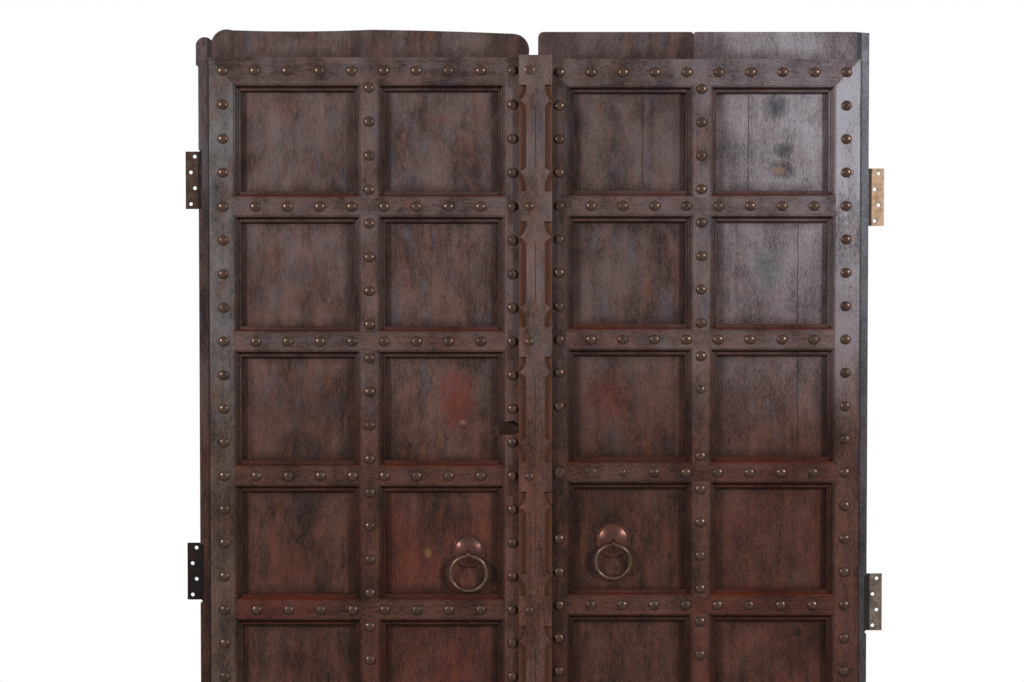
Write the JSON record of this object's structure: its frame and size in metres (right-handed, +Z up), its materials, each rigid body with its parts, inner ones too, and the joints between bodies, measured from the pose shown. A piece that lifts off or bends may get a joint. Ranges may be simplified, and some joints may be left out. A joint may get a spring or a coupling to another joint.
{
  "type": "carved temple door",
  "caption": "Carved double-leaf temple door: square panels in a studded, moulded face frame, a scalloped cover strip over the meeting edges, and iron ring handles.",
  "frame": {"origin": "middle of the foot of the whole door, as its closed leaves and free hinge plates measure", "axes": "+X to the right as seen from the carved front, +Y to the back, +Z up"},
  "size_m": [1.237, 0.0768, 2.0177],
  "materials": {
    "wood": "old dark oiled hardwood, worn",
    "iron": "dark forged iron, rubbed satin",
    "hinge_steel": "dull steel with brown tarnish"
  },
  "bodies": {
    "jamb_plates": {"left_hinge_pins": "hinge_steel", "left_jamb_plate_low": "hinge_steel", "left_jamb_plate_mid": "hinge_steel", "left_jamb_plate_top": "hinge_steel", "right_hinge_pins": "hinge_steel", "right_jamb_plate_low": "hinge_steel", "right_jamb_plate_mid": "hinge_steel", "right_jamb_plate_top": "hinge_steel"},
    "left_leaf": {"cover_strip": "wood", "cover_strip_studs": "iron", "left_boss": "iron", "left_bottom_rail": "wood", "left_edge_board": "wood", "left_hinge_screws": "hinge_steel", "left_inner_board": "wood", "left_leaf_plate_low": "hinge_steel", "left_leaf_plate_mid": "hinge_steel", "left_leaf_plate_top": "hinge_steel", "left_meeting_stile": "wood", "left_muntins": "wood", "left_outer_board": "wood", "left_outer_stile": "wood", "left_rail_1": "wood", "left_rail_2": "wood", "left_rail_3": "wood", "left_rail_4": "wood", "left_rail_5": "wood", "left_rail_6": "wood", "left_rail_7": "wood", "left_split_pin": "iron", "left_studs": "iron", "left_top_rail": "wood"},
    "right_leaf": {"right_boss": "iron", "right_bottom_rail": "wood", "right_edge_board": "wood", "right_hinge_screws": "hinge_steel", "right_inner_board": "wood", "right_leaf_plate_low": "hinge_steel", "right_leaf_plate_mid": "hinge_steel", "right_leaf_plate_top": "hinge_steel", "right_meeting_stile": "wood", "right_muntins": "wood", "right_outer_board": "wood", "right_outer_stile": "wood", "right_rail_1": "wood", "right_rail_2": "wood", "right_rail_3": "wood", "right_rail_4": "wood", "right_rail_5": "wood", "right_rail_6": "wood", "right_rail_7": "wood", "right_split_pin": "iron", "right_studs": "iron", "right_top_rail": "wood"},
    "left_ring_body": {"left_ring": "iron"},
    "right_ring_body": {"right_ring": "iron"}
  },
  "joints": [
    {"name": "right_leaf_swing", "type": "hinge", "parent": "jamb_plates", "child": "right_leaf", "pos_m": [0.5865, 0.0324, 0.2855], "axis": [0, 0, -1], "range_deg": [0, 120]},
    {"name": "left_leaf_swing", "type": "hinge", "parent": "jamb_plates", "child": "left_leaf", "pos_m": [-0.5905, 0.0324, 0.3655], "axis": [0, 0, 1], "range_deg": [0, 84]},
    {"name": "left_ring_lift", "type": "hinge", "parent": "left_leaf", "child": "left_ring_body", "pos_m": [-0.117, -0.0194, 1.09375], "axis": [-1, 0, 0], "range_deg": [0, 90]},
    {"name": "right_ring_lift", "type": "hinge", "parent": "right_leaf", "child": "right_ring_body", "pos_m": [0.1375, -0.0194, 1.11325], "axis": [-1, 0, 0], "range_deg": [0, 90]}
  ],
  "couplings": [
    {"joint": "left_leaf_swing", "follows": "right_leaf_swing", "ratio": 0.7}
  ]
}
